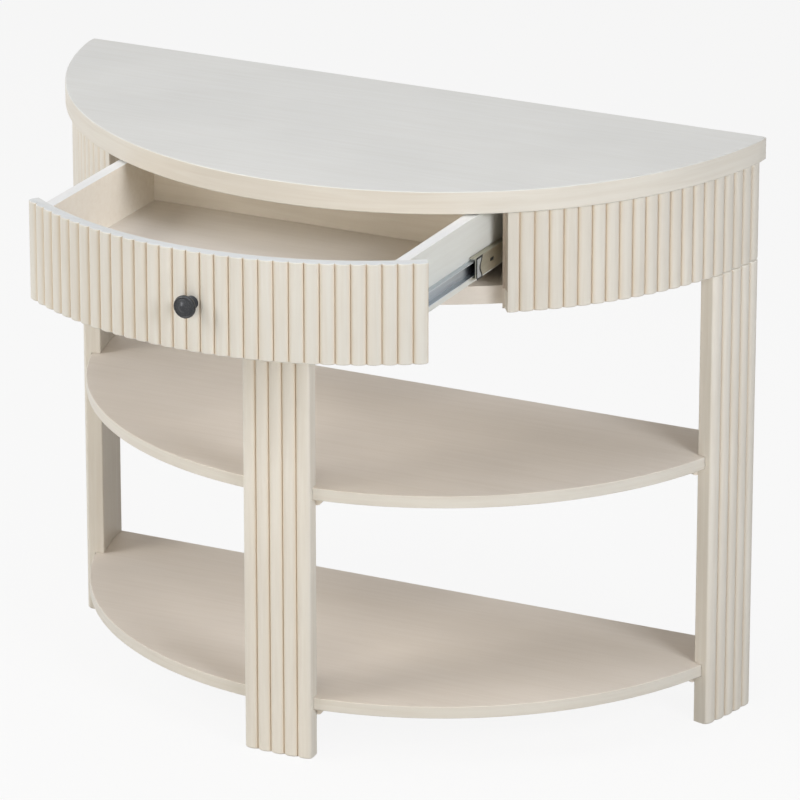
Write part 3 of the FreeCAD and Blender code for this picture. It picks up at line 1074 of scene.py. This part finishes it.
@dataclass
class MiddleMember:
    """Middle member of a drawer slide, with rolled ball races, the clip at its front end and a dark plate
    under the clip that paints its shadow.
    """

    side: int
    race_edge: float = 1.6 * MM
    race_depth: float = 0.7 * MM
    clip_width: float = 11 * MM
    clip_height: float = 24 * MM
    clip_thick: float = 0.7 * MM
    shadow_plate_thick: float = 0.5 * MM
    shadow_plate_margin: float = 4.5 * MM
    notch: float = 5.5 * MM
    setback: float = 1.5 * MM
    rows: int = 24

    def __post_init__(self) -> None:
        """Finds the member that the side names."""
        self.node = "slide_middle_right" if self.side > 0 else "slide_middle_left"
        self.low, self.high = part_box(self.node)

    def member(self) -> Object:
        """Rolls a ball race into both flanges of the member.

        Returns:
            The finished member.
        """
        obj = merged_copy(self.node, "_rolled")
        with editing(obj):
            for way in (1, -1):
                pick(obj, Element.FACE, lambda f: f.normal.z * way > FLUSH and abs(
                    f.calc_center_median().z - (self.high.z if way > 0 else self.low.z)) < TINY)
                bpy.ops.mesh.inset(thickness=self.race_edge, depth=0)
                bpy.ops.transform.translate(value=(0, 0, -way * self.race_depth))
        settle(obj)
        return obj

    def plate(self, ending: str, margin: float, thick: float) -> Object:
        """Models a plate on the member's outer face, with a hollow back edge.

        Args:
            ending: What follows the node's name in the piece's name.
            margin: How much larger than the clip it is.
            thick: Its thickness.

        Returns:
            The finished plate.
        """
        height, width = self.clip_height + margin, self.clip_width + margin
        deselect()
        bpy.ops.mesh.primitive_plane_add(size=1, location=(0, 0, 0), rotation=(0, math.pi / 2, 0))
        obj = new_object(self.node + ending)
        obj.dimensions = (height, width, 0)
        bake_place()
        with editing(obj):
            pick(obj, Element.EDGE, lambda e: abs(e.verts[0].co.z - e.verts[1].co.z) > TINY)
            bpy.ops.mesh.subdivide(number_cuts=self.rows)
            for i in range(self.rows + 2):
                level = height * (i / (self.rows + 1) - 0.5)
                pick(obj, Element.VERT, lambda v: abs(v.co.z - level) < TINY and v.co.y > 0)
                hollow = self.notch * math.cos(math.pi * level / height) ** 2
                bpy.ops.transform.translate(value=(0, -hollow, 0))
            bpy.ops.mesh.select_all(action="SELECT")
            bpy.ops.mesh.extrude_region_move(TRANSFORM_OT_translate={"value": (self.side * thick, 0, 0)})
            close_up()
        face_x = self.high.x if self.side > 0 else self.low.x
        middle_z = (self.low.z + self.high.z) / 2
        obj.location = Vector((face_x, self.low.y + self.setback + width / 2, middle_z))
        settle(obj)
        return obj

    def build(self) -> list[Piece]:
        """Models the member, its clip and a dark plate under the clip that paints the shadow line round its
        edge.

        Returns:
            The three pieces, in that order.
        """
        return [Piece(obj, node, finish, {}, "zinc_steel", Body.MIDDLES) for obj, node, finish in (
            (self.member(), self.node, "yellow_zinc_plated_steel"),
            (self.plate("_clip", 0, self.clip_thick), None, "zinc_plated_steel"),
            # Painted shadow: a dark plate, a margin larger than the clip, shows as a dark line round the
            # clip's edge.
            (self.plate("_clip_shadow_plate", self.shadow_plate_margin, self.shadow_plate_thick), None, "blackened_steel_and_painted_shadow"))]


@dataclass
class Drawer:
    """Drawer box with its curved reeded front and the knob."""

    sizes: TableSizes
    reeding: Reeding
    ease: float = 0.8 * MM

    def build(self) -> list[Piece]:
        """Models the box, the front and the knob.

        Returns:
            The finished pieces.
        """
        s = self.sizes
        low, high = s.front
        # Painted light: upward faces get a whiter copy of the paint, for the light from above.
        painted_light_tops = {"drawer_tops_painted_light": self.looks_up}
        # Painted light: inward faces get the lighter, warmer inside paint, lifting the shade inside the
        # drawer.
        inside = {"drawer_inside_painted_light": self.looks_inwards} | painted_light_tops
        made = [Piece(eased_copy(node, self.ease), node, finish, others, body=Body.DRAWER)
                for node, finish, others in (
                    ("drawer_side_left", "drawer_sides", inside),
                    ("drawer_side_right", "drawer_sides", inside),
                    ("drawer_back", "drawer_inside_painted_light", painted_light_tops), ("drawer_bottom", "boards", {}))]
        front = self.reeding.strip("drawer_front_reeded", -s.drawer_turn, s.drawer_reeds,
                                   s.crest_r - s.front_t, s.drawer_axis_y, low.z, high.z)
        return made + [
            Piece(front, "drawer_front", "drawer_front", {"front_top_painted_light": self.looks_up}, body=Body.DRAWER),
            Piece(Knob().build(), "knob", "oil_rubbed_bronze", {}, "dark_bronze", Body.DRAWER)]

    def looks_inwards(self, face: Any) -> bool:
        """Says whether a face of a side looks into the drawer."""
        return face.normal.x * face.calc_center_median().x < 0 and abs(face.normal.x) > SQUARE_ON

    def looks_up(self, face: Any) -> bool:
        """Says whether a face lies level and looks up."""
        return face.normal.z > SQUARE_ON


@dataclass
class Fittings:
    """Slides, fasteners and dowels that keep the frame's shapes."""

    steel_nodes: Names = (
        "slide_cabinet_left", "slide_cabinet_right", "slide_drawer_left", "slide_drawer_right",
        "slide_cabinet_screws", "slide_drawer_screws", "cleat_screws", "block_screws", "leg_bolts",
        "knob_screw")
    cage_nodes: Names = (
        "slide_cage_outer_left", "slide_cage_outer_right", "slide_cage_inner_left", "slide_cage_inner_right")
    wood_nodes: Names = ("dowels",)

    def dress(self, finishes: Finishes) -> None:
        """Gives the fittings their finish.

        Args:
            finishes: The table's finishes.
        """
        for nodes, finish in ((self.steel_nodes, "zinc_plated_steel"), (self.cage_nodes, "blackened_steel_and_painted_shadow"),
                              (self.wood_nodes, "beech")):
            for node in nodes:
                dress(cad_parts[node], finishes[finish])


def set_up(name: str, data: Any, place: Vector, look: Vector) -> Object:
    """Puts a lamp or the camera in its place.

    Args:
        name: Its name.
        data: Its settings.
        place: Where it stands.
        look: The direction in which it looks.

    Returns:
        The new object.
    """
    obj = bpy.data.objects.new(name, data)
    bpy.context.scene.collection.objects.link(obj)
    obj.location = place
    obj.rotation_mode = "QUATERNION"
    obj.rotation_quaternion = look.to_track_quat("-Z", "Y")
    return obj


@dataclass(frozen=True)
class Lamp:
    """Square soft light that faces the table, and that glossy surfaces show only if it is mirrored."""

    name: str
    place: Triple
    size: float
    watts: float
    colour: str
    mirrored: bool = False
    aim: Triple = (0, 0, 0.4)

    def build(self) -> None:
        """Sets the lamp up."""
        data = bpy.data.lights.new(self.name, "AREA")
        data.size, data.energy, data.color = self.size, self.watts, linear(self.colour)[:3]
        obj = set_up(self.name, data, Vector(self.place), Vector(self.aim) - Vector(self.place))
        obj.visible_glossy = self.mirrored


@dataclass
class Studio:
    """Pale floor, soft lights and the camera."""

    sizes: TableSizes
    turn_deg: float = 26.2
    tilt_deg: float = 20.17
    distance: float = 8.0
    focal_px: float = 6362.0
    aim_x: float = 67.2 * MM
    aim_back: float = 200 * MM
    aim_z: float = 414.2 * MM
    picture_px: int = 800
    sensor_mm: float = 36
    far: float = 100
    floor_size: float = 40
    floor_rough: float = 0.9
    floor_gloss: float = 0.1
    floor_colour: str = "#D6D5D2"
    floor_mottle: str = "#D1D0CC"
    floor_white: str = "#FFFFFF"
    mottle_scale: float = 1.5
    backdrop_share: float = 0.9
    world_share: float = 0.09
    world_colour: str = "#FFDFB6"
    world_white: str = "#FDFDFC"
    lamps: tuple[Lamp, ...] = (
        Lamp("key", (-2.6, -2.4, 2.6), 1.6, 59, "#FDFBF8", True),
        Lamp("right", (3.0, -1.3, 1.9), 1.2, 65, "#F4F8FF"),
        Lamp("left", (-3.0, -0.6, 1.9), 2.2, 31, "#E6EFFF"),
        Lamp("front", (0.3, -3.2, 1.2), 1.4, 30, "#FFFAF2"),
        Lamp("overhead", (0.2, 0.0, 3.2), 2.6, 34, "#ECF3FF", True))

    def camera(self) -> None:
        """Sets the camera at the photograph's angle."""
        data = bpy.data.cameras.new("camera")
        data.sensor_width = self.sensor_mm
        data.lens = self.focal_px / self.picture_px * data.sensor_width
        data.clip_end = self.far
        turn, tilt = math.radians(self.turn_deg), math.radians(self.tilt_deg)
        back = Vector((math.sin(turn) * math.cos(tilt), -math.cos(turn) * math.cos(tilt), math.sin(tilt)))
        aim = Vector((self.aim_x, self.sizes.back_y - self.aim_back, self.aim_z))
        bpy.context.scene.camera = set_up("camera", data, aim + back * self.distance, -back)

    def seen(self, tree: NodeTree) -> NodeSocket:
        """Adds nodes that give 1 where the camera, a reflection or glass sees the backdrop.

        Args:
            tree: The node tree.

        Returns:
            The output socket.
        """
        path = add_node(tree, "LightPath").node.outputs
        mirrored = add_node(tree, "Math", {
            0: path["Is Glossy Ray"], 1: path["Is Transmission Ray"]}, operation="MAXIMUM")
        return add_node(tree, "Math", {0: path["Is Camera Ray"], 1: mirrored}, operation="MAXIMUM")

    def floor(self) -> None:
        """Lays a wide pale floor with a softly mottled matt surface."""
        deselect()
        bpy.ops.mesh.primitive_plane_add(size=self.floor_size, location=(0, 0, 0))
        obj = new_object("floor")
        material, tree, place = start_material("matt_studio_paper")
        mottle = add_node(tree, "TexNoise", {
            "Vector": place, "Scale": self.mottle_scale, "Detail": 2.0})
        body = add_node(tree, "Mix", {
            "Factor": mottle, 6: linear(self.floor_colour), 7: linear(self.floor_mottle)},
                        2, data_type="RGBA")
        paper = add_node(tree, "BsdfPrincipled", {
            "Base Color": body, "Roughness": self.floor_rough, "Specular IOR Level": self.floor_gloss})
        share = add_node(tree, "Math", {
            0: self.seen(tree), 1: self.backdrop_share}, operation="MULTIPLY")
        white = add_node(tree, "Emission", {"Color": linear(self.floor_white), "Strength": 1.0})
        mixed = add_node(tree, "MixShader", {0: share, 1: paper, 2: white})
        add_node(tree, "OutputMaterial", {"Surface": mixed})
        dress(obj, material)

    def world(self) -> None:
        """Fills the studio with even light and shows it white behind the table."""
        world = bpy.data.worlds.new("studio")
        bpy.context.scene.world = world
        world.use_nodes = True
        tree = world.node_tree
        tree.nodes.clear()
        even = add_node(tree, "Background", {
            "Color": linear(self.world_colour), "Strength": self.world_share})
        white = add_node(tree, "Background", {"Color": linear(self.world_white), "Strength": 1.0})
        mixed = add_node(tree, "MixShader", {0: self.seen(tree), 1: even, 2: white})
        add_node(tree, "OutputWorld", {"Surface": mixed})

    def build(self) -> None:
        """Sets up the floor, the lights and the camera."""
        self.floor()
        self.world()
        for lamp in self.lamps:
            lamp.build()
        self.camera()
        bpy.context.scene.view_settings.view_transform = "Standard"


def main() -> None:
    """Builds and dresses the table, then the studio round it."""
    logging.basicConfig(level=logging.INFO, format="%(message)s")
    sizes = TableSizes()
    finishes = build_finishes(sizes)
    reeding = Reeding(sizes)
    leg_reeding = Reeding(sizes, head_ease=sizes.leg_head_ease)
    for part in (Top(sizes), Apron(sizes, reeding), Stand(sizes, leg_reeding), Drawer(sizes, reeding),
                 MiddleMember(-1), MiddleMember(1)):
        for piece in part.build():
            piece.dress(finishes)
    Fittings().dress(finishes)
    Studio(sizes).build()


if __name__ == "__main__":
    main()
